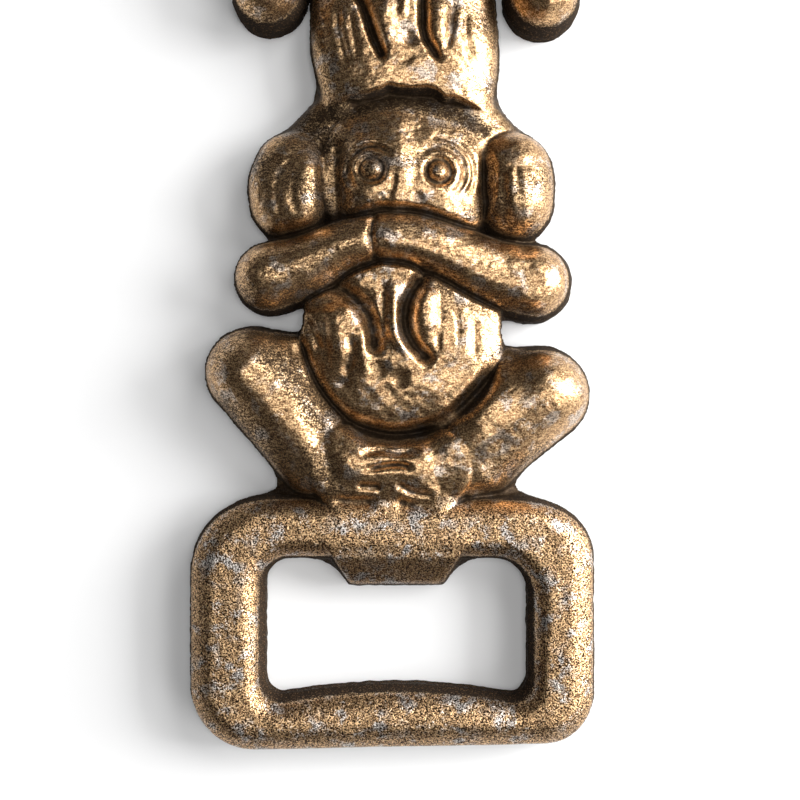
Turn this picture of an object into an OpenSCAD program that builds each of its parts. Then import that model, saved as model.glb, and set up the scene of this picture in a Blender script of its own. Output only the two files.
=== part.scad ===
// Cast bottle opener: a rectangular opener ring with a stack of three seated monkeys as its handle.
// The back is flat and lies on z = 0, the relief faces +Z, and the heads point to +Y.
// X runs across the opener and Y along it. All sizes are in millimetres.

/* [Opener ring] */
// Width of the ring across its two side bars
ring_w = 51.4; // [48:0.2:55]
// Height of the ring along the opener, from its bottom edge to where the handle starts
ring_h = 33; // [32:0.5:35]
// Thickness of the ring
ring_t = 6.5; // [5.5:0.1:7.5]
// Width of the window that takes the crown cap
window_w = 33.6; // [31:0.2:35]
// Height of the window, from the bottom bar to the top bar
window_h = 17; // [16:0.2:18]
// Width of the bottom bar
bottom_bar = 7.4; // [7:0.1:8.5]
// How far the middle of the bottom bar arches up into the window
bar_arch = 1.2; // [0.5:0.1:1.6]
// Rounding of the ring's outer upper edge
ring_edge = 1.8; // [1:0.1:2.2]

/* [Cap lip] */
// Width of the lip where it leaves the top bar
lip_root_w = 15.6; // [13:0.2:16]
// Width of the lip at its tip
lip_tip_w = 12; // [10:0.2:12.6]
// How far the lip stands into the window
lip_len = 3.5; // [3:0.1:4.2]
// Thickness of the lip at its tip
lip_tip_t = 3; // [2.4:0.1:3.6]

/* [Figures] */
// Distance from one monkey to the next along the stack
pitch = 36; // [34:0.5:38]
// Radius of the belly
belly_r = 12.4; // [11.5:0.1:13]
// Radius of the head
head_r = 10.5; // [9.8:0.1:11]
// Radius of the knee
knee_r = 5.8; // [5.2:0.1:6.2]
// Radius of the elbow
elbow_r = 4.7; // [4.3:0.1:5]
// Radius of the forearm, half way along
forearm_r = 4; // [3.6:0.1:4.4]
// Radius of the hand
hand_r = 3.2; // [2.9:0.1:3.6]
// Radius of the shoulder
shoulder_r = 5.6; // [5.2:0.1:5.8]

/* [Relief] */
// Height of the upright wall around every figure
rim = 3.6; // [3:0.1:4]
// Height of the web from the shoulders to the belly above
web_t = 4.8; // [4.4:0.1:5.2]
// Height of the belly
belly_top = 8; // [7.4:0.1:8.6]
// Height of the forehead
head_top = 8.4; // [8:0.1:8.8]
// Height of the shoulders
shoulder_top = 7.6; // [7:0.1:8]
// Height of the knees
knee_top = 8.8; // [8.4:0.1:9.2]
// Height of the elbows
elbow_top = 8.8; // [8.4:0.1:9.2]
// Height of the hands, the highest point of the relief
hand_top = 10; // [9.6:0.1:10.4]

/* [Hidden] */

bronze = "#8a6a3f";
round_fn = 32;         // sides of a round form
arc_steps = 6;         // steps from a form's rim to its crest
tall = 20;             // taller than anything, for cutting
wide = 80;             // wider than anything, for cutting
seat_y = ring_h - 1;   // the lowest monkey's seat, above the ring's bottom edge
crown_rise = 1.9;      // how much more of the topmost, uncovered head shows
axis_x = 1.4;          // the figures lean a little to the right of the ring's centre
head_y = 41.6;
length = seat_y + 2 * pitch + head_y + head_r + crown_rise;

// A form is a chain of [x, y, radius, crest height], with y measured up from its monkey's seat.
belly = [axis_x, 21, belly_r, belly_top];
chest = [axis_x, 27.5, belly_r - 1.6, belly_top - 0.2];
loins = [axis_x, 16, belly_r - 1.4, belly_top - 0.6];
collar = [axis_x + 0.2, 32.6, belly_r - 0.8, belly_top - 0.8];
seated_trunk = [belly, chest];
perched_trunk = [loins, belly, collar];
trunk_foot = 9;        // where a perched monkey's trunk ends, behind the head below it
low_neck = 33;         // where the seated monkey's trunk ends, behind its forearms
high_neck = 39;        // where a perched monkey's trunk ends, behind its chin

feet = [[axis_x - 3.8, 3.7, 5.2, 7.6], [axis_x + 2, 3.6, 5.1, 7.8]];
left_leg = [[-18, 16, knee_r, knee_top], [-12.8, 9.8, knee_r - 0.3, 8.2], [-8.2, 5.2, knee_r, 7.2]];
right_leg = [[19.2, 13.1, knee_r + 0.2, knee_top], [14, 8.8, knee_r + 0.1, 8.2], [9.2, 5.2, knee_r, 7.2]];

head = [[axis_x, head_y, head_r, head_top]];
crowned_head = [[axis_x, head_y, head_r, head_top], [axis_x, head_y + crown_rise, head_r, head_top - 0.4]];
crown_y = head_y;      // below this the paws hide the topmost head
brow = [[axis_x - 5.6, 45.1, 2.8, head_top + 0.6], [axis_x + 5.8, 45.4, 2.7, head_top + 0.5]];
muzzle = [[axis_x, 36, 5.8, hand_top - 0.4], [axis_x, 38.6, 4, hand_top - 0.8]];
cheeks = [[axis_x, 36, 5.8, hand_top - 0.6], [axis_x, 39.4, head_r - 1.4, head_top - 0.2]];

left_shoulder = [[-12.7, 38.4, shoulder_r, shoulder_top], [-12.5, 41.2, shoulder_r, shoulder_top - 0.6]];
right_shoulder = [[15, 38.4, shoulder_r, shoulder_top], [14.9, 41, shoulder_r, shoulder_top - 0.6]];
left_web = [[-12, 40.6, shoulder_r - 0.6, web_t], [-6, 47.2, shoulder_r - 1, web_t]];
right_web = [[14.6, 40.6, shoulder_r - 0.6, web_t], [9.4, 47.2, shoulder_r - 1, web_t]];
left_armpit = [[-10.4, 36.8, shoulder_r - 1.2, shoulder_top - 1], left_shoulder[0]];
right_armpit = [[12.9, 36.6, shoulder_r - 1.2, shoulder_top - 1], right_shoulder[0]];
left_upper_arm = [left_shoulder[0], [-13.4, 29.6, elbow_r, shoulder_top]];
right_upper_arm = [right_shoulder[0], [16.6, 29.4, elbow_r, shoulder_top]];
bent_elbow_y = 30;     // where the upper arm of the topmost monkey goes in behind its forearm

// Paws over the mouth, the right one on top
speak_left = [[-15.4, 27.7, elbow_r, elbow_top], [-9, 30.8, forearm_r, 8.8], [-2.2, 33.6, hand_r, 9.6]];
speak_right = [
    [17.6, 27.5, elbow_r + 0.2, elbow_top + 0.2], [11.6, 29.8, forearm_r, 9.2],
    [6.3, 32.4, hand_r + 0.4, 9.8], [-1.6, 33.6, hand_r, hand_top]
];
// Paws over the ears
hear_left = [[-15.6, 27.7, elbow_r, elbow_top], [-13.4, 35.6, forearm_r, 8.6], [-9.6, 42, hand_r + 1.2, 9.4]];
hear_right = [[19, 27.3, elbow_r, elbow_top], [16.2, 35.6, forearm_r, 8.6], [12.4, 42, hand_r + 1.2, 9.4]];
// Paws over the eyes
see_left = [[-15.6, 27.7, elbow_r, elbow_top], [-10.8, 36, forearm_r, 9], [-3.4, 42, hand_r + 1, hand_top]];
see_right = [[19, 27.3, elbow_r, elbow_top], [13.6, 36, forearm_r, 9], [6.2, 42, hand_r + 1, hand_top]];

// ---- building blocks ----

// One round form: an upright wall up to the rim, then a quarter ellipse up to the crest.
module pebble(c) {
    arc = [for (i = [0:arc_steps]) let (a = 90 * i / arc_steps)
        [c[2] * cos(a), rim + (c[3] - rim) * sin(a)]];
    translate([c[0], c[1], 0])
        rotate_extrude($fn = round_fn)
            polygon(concat([[0, 0], [c[2], 0]], arc));
}

// The solid of a chain.
module form(chain) {
    if (len(chain) == 1)
        pebble(chain[0]);
    else
        for (i = [0:len(chain) - 2])
            hull() {
                pebble(chain[i]);
                pebble(chain[i + 1]);
            }
}

// Everything above and below a chain's outline, for cutting what lies behind it.
module shadow(chain) {
    translate([0, 0, -1])
        linear_extrude(tall)
            if (len(chain) == 1)
                translate([chain[0][0], chain[0][1]]) circle(chain[0][2], $fn = round_fn);
            else
                for (i = [0:len(chain) - 2])
                    hull()
                        for (c = [chain[i], chain[i + 1]])
                            translate([c[0], c[1]]) circle(c[2], $fn = round_fn);
}

// The shadows of several chains.
module shadows(chains) {
    for (chain = chains) shadow(chain);
}

// Puts a part of the monkey at this level, counted from the ring, into the opener's frame.
module at_level(level) {
    translate([0, seat_y + level * pitch - length / 2, 0]) children();
}

// One region of a monkey: its forms, less whatever lies in front of them, between two heights.
module body_part(level, chains, covers = [], y_from = -pitch, y_to = 2 * pitch) {
    color(bronze)
    at_level(level)
    intersection() {
        difference() {
            for (chain = chains) form(chain);
            shadows(covers);
        }
        translate([-wide / 2, y_from, -1]) cube([wide, y_to - y_from, tall + 1]);
    }
}

// A chain belonging to the monkey above or below, seen from this one.
function moved(chain, levels) = [for (c = chain) [c[0], c[1] + levels * pitch, c[2], c[3]]];

// Puts a part drawn from the ring's bottom edge into the opener's frame.
module at_base() {
    translate([0, -length / 2, 0]) children();
}

// ---- opener ring ----

// Corners of the ring as [x, y, radius]: the pattern is carved by hand, so they differ a little.
ring_corners = [
    [-ring_w / 2 + 8.4, 8.4, 8.4],
    [ring_w / 2 - 7, 7.6, 7],
    [ring_w / 2 - 9.8, ring_h - 9.6, 9.4],
    [-ring_w / 2 + 10.2, ring_h - 10, 10]
];
window_bottom = bottom_bar;
window_top = bottom_bar + window_h;
window_x = 0.5;                        // the window sits slightly right of centre
window_corners = [
    [window_x - window_w / 2 + 2.6, window_bottom + 2.6, 2.6],
    [window_x + window_w / 2 - 2.6, window_bottom + 2.6, 2.6],
    [window_x + window_w / 2 - 4.6, window_top - 4.6, 4.6],
    [window_x - window_w / 2 + 3.4, window_top - 3.4, 3.4]
];
window_draft = 1.1;                    // how much wider the window is at the front face
lip_root_y = window_top + 1.6;         // the lip starts inside the top bar
lip_tip_y = window_top - lip_len;
lip_chamfer = 0.7;                     // bevel on the lip's edges

// A corner post of the ring, with a rounded upper edge.
module ring_post(c) {
    arc = [for (i = [0:4]) let (a = 90 * i / 4)
        [c[2] - ring_edge + ring_edge * cos(a), ring_t - ring_edge + ring_edge * sin(a)]];
    translate([c[0], c[1], 0])
        rotate_extrude($fn = round_fn)
            polygon(concat([[0, 0], [c[2], 0]], arc, [[0, ring_t]]));
}

// The window, opening towards the front face.
module window() {
    hull()
        for (c = window_corners, end = [[-1, 0], [ring_t + 1, window_draft]])
            translate([c[0], c[1], end[0]])
                cylinder(r = c[2] + end[1], h = 0.01, $fn = round_fn);
}

// The swell of the bottom bar on which the cap's top bears, a segment of a wide cylinder.
module bar_swell() {
    half = window_w / 2 - 2.6;
    swell_r = (half * half + bar_arch * bar_arch) / (2 * bar_arch);
    intersection() {
        translate([window_x, window_bottom + bar_arch - swell_r, 0])
            cylinder(r = swell_r, h = ring_t - 1, $fn = 256);
        translate([window_x - half, window_bottom - window_draft - 1, 0])
            cube([2 * half, window_draft + bar_arch + 1, ring_t - 1]);
    }
}

module opener_ring() {
    color(bronze)
    at_base()
    difference() {
        union() {
            difference() {
                hull() for (c = ring_corners) ring_post(c);
                window();
            }
            bar_swell();
        }
        translate([0, seat_y, 0]) shadows([feet, left_leg, right_leg]);
        lip_block();
    }
}

// The lip's outline: a trapezoid that narrows into the window, with its tip corners taken off.
module lip_outline() {
    polygon([
        [-lip_root_w / 2, lip_root_y], [lip_root_w / 2, lip_root_y],
        [lip_tip_w / 2 + lip_chamfer, lip_tip_y + lip_chamfer], [lip_tip_w / 2, lip_tip_y],
        [-lip_tip_w / 2, lip_tip_y], [-lip_tip_w / 2 - lip_chamfer, lip_tip_y + lip_chamfer]
    ]);
}

// The block in which the lip lies, cut from the ring.
module lip_block() {
    translate([window_x, 0, -1]) linear_extrude(tall) lip_outline();
}

// The lip that hooks under the crown cap's edge, sloping down from the ring to its tip.
module cap_lip() {
    color(bronze)
    at_base()
    intersection() {
        lip_block();
        translate([-wide / 2, 0, 0])
            rotate([90, 0, 90])
                linear_extrude(wide)
                    polygon([
                        [lip_root_y, 0], [lip_root_y, ring_t], [lip_root_y - lip_chamfer, ring_t],
                        [lip_tip_y + lip_chamfer, lip_tip_t], [lip_tip_y, lip_tip_t - lip_chamfer],
                        [lip_tip_y, lip_chamfer], [lip_tip_y + lip_chamfer, 0]
                    ]);
    }
}

// ---- the lowest monkey, paws over its mouth ----

module speak_feet() {
    body_part(0, [feet], [seated_trunk]);
}

module speak_left_leg() {
    body_part(0, [left_leg], [seated_trunk, feet]);
}

module speak_right_leg() {
    body_part(0, [right_leg], [seated_trunk, feet]);
}

module speak_torso() {
    body_part(0, [seated_trunk], [speak_left, speak_right], y_to = low_neck);
}

module speak_left_arm() {
    body_part(0, [speak_left], [speak_right]);
}

module speak_right_arm() {
    body_part(0, [speak_right]);
}

module speak_left_shoulder() {
    body_part(0, [left_armpit, left_shoulder, left_web], [speak_left, head, moved(perched_trunk, 1)]);
}

module speak_right_shoulder() {
    body_part(0, [right_armpit, right_shoulder, right_web], [speak_right, head, moved(perched_trunk, 1)]);
}

module speak_head() {
    body_part(0, [head, brow], [speak_left, speak_right]);
}

// ---- the middle monkey, paws over its ears ----

module hear_torso() {
    body_part(1, [perched_trunk], [hear_left, hear_right, head, muzzle, moved(head, -1)], trunk_foot, high_neck);
}

module hear_left_arm() {
    body_part(1, [hear_left]);
}

module hear_right_arm() {
    body_part(1, [hear_right]);
}

module hear_left_shoulder() {
    body_part(1, [left_shoulder, left_web], [hear_left, head, perched_trunk, moved(perched_trunk, 1)]);
}

module hear_right_shoulder() {
    body_part(1, [right_shoulder, right_web], [hear_right, head, perched_trunk, moved(perched_trunk, 1)]);
}

module hear_head() {
    body_part(1, [head, brow], [hear_left, hear_right, muzzle]);
}

module hear_muzzle() {
    body_part(1, [muzzle], [hear_left, hear_right]);
}

// ---- the top monkey, paws over its eyes ----

module see_torso() {
    body_part(2, [perched_trunk], [see_left, see_right, cheeks, moved(head, -1)], trunk_foot, high_neck);
}

module see_left_arm() {
    body_part(2, [see_left]);
}

module see_right_arm() {
    body_part(2, [see_right]);
}

module see_left_shoulder() {
    body_part(2, [left_shoulder, left_upper_arm], [see_left, crowned_head, perched_trunk], bent_elbow_y);
}

module see_right_shoulder() {
    body_part(2, [right_shoulder, right_upper_arm], [see_right, crowned_head, perched_trunk], bent_elbow_y);
}

module see_head() {
    body_part(2, [crowned_head, brow], [see_left, see_right], y_from = crown_y);
}

module see_muzzle() {
    body_part(2, [cheeks], [see_left, see_right]);
}

opener_ring();
cap_lip();

speak_feet();
speak_left_leg();
speak_right_leg();
speak_torso();
speak_left_arm();
speak_right_arm();
speak_left_shoulder();
speak_right_shoulder();
speak_head();

hear_torso();
hear_left_arm();
hear_right_arm();
hear_left_shoulder();
hear_right_shoulder();
hear_head();
hear_muzzle();

see_torso();
see_left_arm();
see_right_arm();
see_left_shoulder();
see_right_shoulder();
see_head();
see_muzzle();
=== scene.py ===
"""The looks of a cast souvenir bottle opener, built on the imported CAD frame.

The real opener is one flat-backed iron casting that was lifted out of its sand mould in one direction, so
its face is a relief with no undercuts. The script carves that relief as a height field, in millimetres: every
limb is a dome over a spine, details are strokes cut into the domes, and the result is divided at the creases
into one closed piece for each CAD node.
"""
import math

import bpy
import numpy as np
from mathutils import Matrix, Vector


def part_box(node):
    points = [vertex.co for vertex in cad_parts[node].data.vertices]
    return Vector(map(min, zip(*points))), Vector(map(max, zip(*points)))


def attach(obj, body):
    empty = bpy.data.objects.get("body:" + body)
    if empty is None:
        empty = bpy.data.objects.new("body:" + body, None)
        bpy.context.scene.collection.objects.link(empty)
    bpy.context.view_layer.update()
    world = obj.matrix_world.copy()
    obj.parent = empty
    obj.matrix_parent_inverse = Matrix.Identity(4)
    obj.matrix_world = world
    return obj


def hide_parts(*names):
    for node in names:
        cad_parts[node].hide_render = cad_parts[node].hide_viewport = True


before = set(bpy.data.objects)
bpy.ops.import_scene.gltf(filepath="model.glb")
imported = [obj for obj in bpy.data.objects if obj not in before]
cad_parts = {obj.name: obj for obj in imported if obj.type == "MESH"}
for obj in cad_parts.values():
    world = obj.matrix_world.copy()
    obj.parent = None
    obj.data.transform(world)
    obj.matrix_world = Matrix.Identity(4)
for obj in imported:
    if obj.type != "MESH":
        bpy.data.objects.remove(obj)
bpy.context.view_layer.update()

MM = 0.001
STEP = 0.16            # spacing of the relief's grid
MARGIN = 1.0           # grid kept free around the opener
BLOCK = 8              # grid cells along one side of a face on the plain back
NOWHERE = -9.0         # height given to a form outside its reach
FAR_OUTSIDE = 50.0     # distance from the outline before anything is carved
SKIRT = 1.5            # height of the upright edge all round the back
BACK_STEEPNESS = 9     # slope noted on the plain back, so that it takes the paint of the walls
LATTICE = 256          # cells of the noise before it repeats
NOISE_ORIGIN = 1000    # keeps the places looked up in the noise positive
SEED = 20

# ---------------------------------------------------------------------------
# The frame: where the CAD model has the ring and the three monkeys
# ---------------------------------------------------------------------------


def box_mm(node):
    """A CAD node's lowest and highest corners, in millimetres."""
    low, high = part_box(node)
    return np.array(low) / MM, np.array(high) / MM


ring_low, ring_high = box_mm("opener_ring")
lip_low, lip_high = box_mm("cap_lip")
ELBOW_HEIGHT = 23.0    # from a monkey's seat up to the bottom of its left elbow
SEATS = {name: box_mm(f"{name}_left_arm")[0][1] - ELBOW_HEIGHT for name in ("speak", "hear", "see")}
TOP_OF_HEAD = box_mm("see_head")[1][1]

xs = np.arange(ring_low[0] - MARGIN, ring_high[0] + MARGIN + STEP, STEP)
ys = np.arange(ring_low[1] - MARGIN, TOP_OF_HEAD + MARGIN + STEP, STEP)
X, Y = np.meshgrid(xs, ys)

VIEW_CENTRE = (1.0, -34.5)     # what the camera looks straight down on, in millimetres
VIEW_WIDTH = 102.4             # width of the picture there
VIEW_HEIGHT = 157.0            # distance of the camera
FACE_HEIGHT = 7.5              # usual height of the carved face
RAISED = 1 - FACE_HEIGHT / VIEW_HEIGHT    # places on the face are this much closer together than they look

# ---------------------------------------------------------------------------
# Tools for carving
# ---------------------------------------------------------------------------


def smoothstep(low, high, value):
    """Rises from 0 at low to 1 at high, with soft ends."""
    t = np.clip((value - low) / (high - low), 0, 1)
    return t * t * (3 - 2 * t)


def smooth_max(a, b, k):
    """The higher of two fields, with the join filled over a height k."""
    h = np.clip(1 - np.abs(a - b) / k, 0, 1)
    return np.maximum(a, b) + h * h * k / 4


def smooth_min(a, b, k):
    """The lower of two fields, with the join softened over a height k."""
    return -smooth_max(-a, -b, k)


def spline(points, steps=7):
    """A smooth curve through the points, which may carry a radius and a height besides x and y."""
    p = np.array(points, float)
    if len(p) < 3:
        return np.array([p[0] + (p[-1] - p[0]) * t for t in np.linspace(0, 1, steps + 1)])
    p = np.vstack([2 * p[0] - p[1], p, 2 * p[-1] - p[-2]])
    out = []
    for a, b, c, d in zip(p, p[1:], p[2:], p[3:]):
        for t in np.arange(steps) / steps:
            out.append(0.5 * (2 * b + (c - a) * t + (2 * a - 5 * b + 4 * c - d) * t**2
                              + (3 * b - a - 3 * c + d) * t**3))
    return np.array(out + [p[-2]])


def patch(line, reach):
    """The part of the grid within reach of a line."""
    def span(axis, values):
        first = int((values.min() - reach - axis[0]) / STEP)
        last = int((values.max() + reach - axis[0]) / STEP) + 2
        return slice(max(first, 0), max(min(last, len(axis)), 0))
    return span(ys, line[:, 1]), span(xs, line[:, 0])


def nearest(line, area, by_edge=False):
    """For each grid point in the area: its distance from the line, and the line's values there.

    The last value is how far along the line the nearest place is, from 0 to 1. With by_edge, the line's third
    column is a radius, and nearest means nearest to the edge that the radius gives.
    """
    x, y = X[area], Y[area]
    best = np.full(x.shape, 1e9)
    distance = np.full(x.shape, 1e9)
    values = np.zeros(x.shape + (line.shape[1] - 1,))
    for i, (a, b) in enumerate(zip(line[:-1], line[1:])):
        d = b[:2] - a[:2]
        t = np.clip(((x - a[0]) * d[0] + (y - a[1]) * d[1]) / (d @ d + 1e-12), 0, 1)
        r = np.hypot(x - a[0] - t * d[0], y - a[1] - t * d[1])
        key = r - (a[2] + (b[2] - a[2]) * t) if by_edge else r
        closer = key < best
        best[closer] = key[closer]
        distance[closer] = r[closer]
        for k in range(2, line.shape[1]):
            values[..., k - 2][closer] = (a[k] + (b[k] - a[k]) * t)[closer]
        values[..., -1][closer] = ((i + t) / (len(line) - 1))[closer]
    return distance, values


class Relief:
    """The height field, the outline seen from above, and which CAD node owns each place."""

    def __init__(self):
        self.height = np.full(X.shape, NOWHERE)
        self.outline = np.full(X.shape, FAR_OUTSIDE)
        self.nodes = []
        self.owner = np.full(X.shape, -1)
        # how much painted shade and dark patina each place gets
        self.patina_and_painted_shade = np.zeros(X.shape)

    def claim(self, node, area, mask):
        """Gives the masked places of an area to a CAD node."""
        if node not in self.nodes:
            self.nodes.append(node)
        self.owner[area][mask] = self.nodes.index(node)

    def dome(self, node, points, foot=SKIRT, crease=1.5, blend=0.5, power=2.2, notch=1.2, edge=True):
        """Lays a rounded form over what is already there, along a spine of (x, y, radius, crest height).

        Its edge starts at the foot height. What it covers is pressed down by the crease depth, so that a
        crease is left all round it.
        """
        line = spline(points)
        area = patch(line, line[:, 2].max() + 3)
        distance, values = nearest(line, area, by_edge=True)
        radius, crest = values[..., 0], values[..., 1]
        inside = np.clip(1 - np.minimum(distance / radius, 1) ** power, 0, 1) ** 0.5
        rise = foot + (crest - foot) * inside - 8 * np.maximum(distance - radius, 0)
        under = self.height[area] - crease * smoothstep(-0.2, 0.9, radius - distance)
        self.claim(node, area, (rise > under) & (distance < radius))
        self.height[area] = smooth_max(under, rise, blend)
        if edge:
            self.outline[area] = smooth_min(self.outline[area], distance - radius, notch)

    def press(self, node, points, level):
        """Lowers everything near a line of (x, y, radius) to a shelf, with a steep step all round."""
        line = spline(points)
        area = patch(line, line[:, 2].max() + 2)
        distance, values = nearest(line, area, by_edge=True)
        outside = distance - values[..., 0] + 0.5 * fractal(X[area], Y[area], 2.2, 2, SEED + 40)
        self.height[area] = smooth_min(self.height[area], level + 7 * np.maximum(outside, 0), 0.8)
        self.claim(node, area, outside < 0.2)

    def swell(self, points, height):
        """Adds a soft rise along a line of (x, y, radius)."""
        line = spline(points)
        area = patch(line, line[:, 2].max())
        distance, values = nearest(line, area, by_edge=True)
        self.height[area] += height * np.clip(1 - (distance / values[..., 0]) ** 2, 0, 1) ** 2

    def stroke(self, points, width, depth, taper=0.25):
        """Cuts a groove along a line, or raises a ridge where depth is negative."""
        line = spline([(x, y, width) for x, y in points])
        area = patch(line, 3.2 * width)
        distance, values = nearest(line, area)
        along = values[..., -1]
        ends = smoothstep(0, taper, along) * smoothstep(0, taper, 1 - along)
        self.height[area] -= depth * np.exp(-((distance / width) ** 2)) * ends

    def shade_and_patina(self, points, amount):
        """Paints shade along a line of (x, y, radius), together with more of the dark ground of the paint."""
        line = spline(points)
        area = patch(line, line[:, 2].max())
        distance, values = nearest(line, area, by_edge=True)
        fade = np.clip(1 - (distance / values[..., 0]) ** 2, 0, 1)
        self.patina_and_painted_shade[area] = np.maximum(self.patina_and_painted_shade[area], amount * fade)

    def bump(self, x, y, radius, height):
        """Raises a small soft mound, or presses a dent where height is negative."""
        area = patch(np.array([[x, y]]), 3 * radius)
        distance = np.hypot(X[area] - x, Y[area] - y)
        self.height[area] += height * np.exp(-((distance / radius) ** 2))

    def ring(self, x, y, radius, width, depth):
        """Cuts a circular groove."""
        area = patch(np.array([[x, y]]), radius + 3 * width)
        distance = np.hypot(X[area] - x, Y[area] - y)
        self.height[area] -= depth * np.exp(-(((distance - radius) / width) ** 2))


def noise(x, y, size, seed):
    """Smooth value noise from -1 to 1 with features of about the given size."""
    table = np.random.default_rng(seed).random((LATTICE + 1, LATTICE + 1))
    u, v = x / size + NOISE_ORIGIN, y / size + NOISE_ORIGIN
    iu, iv = np.floor(u).astype(int), np.floor(v).astype(int)
    fu, fv = u - iu, v - iv
    fu, fv = fu * fu * (3 - 2 * fu), fv * fv * (3 - 2 * fv)
    iu, iv = iu % LATTICE, iv % LATTICE
    low = table[iv, iu] * (1 - fu) + table[iv, iu + 1] * fu
    high = table[iv + 1, iu] * (1 - fu) + table[iv + 1, iu + 1] * fu
    return 2 * (low * (1 - fv) + high * fv) - 1


def fractal(x, y, size, octaves, seed):
    """Several layers of noise, each half the size of the last, weaker and turned."""
    total, weight = 0, 0
    for octave in range(octaves):
        amount = 0.6**octave
        turn = 0.7 * octave
        across = x * math.cos(turn) + y * math.sin(turn)
        along = y * math.cos(turn) - x * math.sin(turn)
        total = total + amount * noise(across, along, size / 2**octave, seed + octave)
        weight += amount
    return total / weight


def blurred(field, radius):
    """Gaussian blur of a grid, by its spectrum."""
    fy = np.fft.fftfreq(field.shape[0], STEP)[:, None]
    fx = np.fft.rfftfreq(field.shape[1], STEP)[None, :]
    soft = np.exp(-2 * (math.pi * radius) ** 2 * (fx * fx + fy * fy))
    return np.fft.irfft2(np.fft.rfft2(field) * soft, s=field.shape)


# ---------------------------------------------------------------------------
# The opener ring and its lip
# ---------------------------------------------------------------------------

RING_T = ring_high[2]
OUTER_ROUND = 3.8      # width in plan of the soft rounding at the outer edge
INNER_ROUND = 2.8      # and at the window's edge
WALL_SLOPE = 6.0       # steepness of the walls below the rounding
TOP_DROP, TOP_TILT = 0.6, 0.014    # the top edge lies a little low, and falls to the right
BOTTOM_TILT = 0.019    # the bottom edge rises a little to the right

# Radii of the corners: lower left, lower right, upper left, upper right
RING_CORNERS = (8.6, 6.6, 10.6, 10.2)
WINDOW_CORNERS = (2.8, 2.8, 3.2, 4.4)
TILT_CHANGE = (ring_low[1] + 27, ring_low[1] + 35)    # the bottom edge's tilt gives way to the top edge's
WINDOW_LOW = np.array([-16.1, ring_low[1] + 7.0])
WINDOW_HIGH = np.array([17.2, lip_high[1] - 1.6])
WINDOW_ARCH = 1.4      # the bottom bar's swell towards the lip
ARCH_X, ARCH_HALF_WIDTH, ARCH_LIMIT = 0.5, 15, ring_low[1] + 15
LIP_ROOT = lip_high[1] - 1.0
LIP_TIP = lip_low[1]
LIP_X = (lip_low[0] + lip_high[0]) / 2
LIP_ROOT_W, LIP_TIP_W = 17.4, 12.2
LIP_TIP_HEIGHT, LIP_STEP = 3.2, 0.2    # the lip slopes from its tip up to just below the ring's top


def rounded_box(x, y, low, high, radii):
    """Signed distance to a box with its own radius at each corner."""
    cx, cy = (low[0] + high[0]) / 2, (low[1] + high[1]) / 2
    px, py = x - cx, y - cy
    r = np.where(py < 0, np.where(px < 0, radii[0], radii[1]), np.where(px < 0, radii[2], radii[3]))
    qx, qy = np.abs(px) - (high[0] - low[0]) / 2 + r, np.abs(py) - (high[1] - low[1]) / 2 + r
    return np.minimum(np.maximum(qx, qy), 0) + np.hypot(np.maximum(qx, 0), np.maximum(qy, 0)) - r


def edge_height(depth, width, drop, low, high):
    """Height at a depth inside an edge: a steep wall from low, then a soft rounding up to high."""
    rounding = high - drop * (1 - np.clip(depth / width, 0, 1)) ** 1.9
    return smooth_min(low + WALL_SLOPE * depth, rounding, 0.8)


def opener_ring(relief):
    """The flat ring with its window, and the lip that hangs into the window."""
    upper = smoothstep(*TILT_CHANGE, Y)
    from_left = X - ring_low[0]
    tilt = BOTTOM_TILT * from_left * (1 - upper) - (TOP_DROP + TOP_TILT * from_left) * upper
    outer = rounded_box(X, Y - tilt, ring_low, ring_high, RING_CORNERS)
    arch = WINDOW_ARCH * (1 - ((X - ARCH_X) / ARCH_HALF_WIDTH) ** 2) * (Y < ARCH_LIMIT)
    window = rounded_box(X, Y - arch, WINDOW_LOW, WINDOW_HIGH, WINDOW_CORNERS)
    half = LIP_TIP_W / 2 + (LIP_ROOT_W - LIP_TIP_W) / 2 * ((Y - LIP_TIP) / (LIP_ROOT - LIP_TIP))
    lip = np.maximum(np.abs(X - LIP_X) - half, LIP_TIP - Y)
    lip = smooth_max(lip, (np.abs(X - LIP_X) - LIP_TIP_W / 2 + LIP_TIP - Y) * 0.7 - 0.1, 0.8)
    opening = smooth_max(window, -lip, 3.0)

    height = np.minimum(edge_height(-outer, OUTER_ROUND, 2.8, SKIRT, RING_T),
                        edge_height(window, INNER_ROUND + 0.6 * arch, 2.4, SKIRT, RING_T))
    slope = np.clip((Y - LIP_TIP) / (LIP_ROOT - LIP_TIP), 0, 1)
    lip_top = LIP_TIP_HEIGHT + (RING_T - LIP_STEP - LIP_TIP_HEIGHT) * slope**0.9
    lip_height = np.where(lip < 1.0, edge_height(-lip, 1.0, 0.8, 1.2, lip_top), NOWHERE)
    lip_height = np.where(Y < LIP_ROOT + 2.5, lip_height, NOWHERE)
    ring_height = np.where((window > -0.4) & (outer < 0.4), height, NOWHERE)
    everywhere = (slice(None), slice(None))
    joined = smooth_max(ring_height, lip_height, 0.8)
    relief.claim("opener_ring", everywhere, (joined > relief.height) & (outer < 0.4))
    relief.claim("cap_lip", everywhere, (lip < 0.6) & (Y < LIP_ROOT) & (Y < WINDOW_HIGH[1] + 0.2))
    relief.height = smooth_max(relief.height, joined, 2.2)
    relief.outline = np.maximum(smooth_min(relief.outline, outer, 4.5), -opening)


# ---------------------------------------------------------------------------
# The monkeys. Every place is (x, height above the seat), seen from the front.
# ---------------------------------------------------------------------------

AXIS = sum(corner[0] for corner in box_mm("speak_head")) / 2
HEAD_R = (box_mm("speak_head")[1][0] - box_mm("speak_head")[0][0]) / 2


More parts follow.
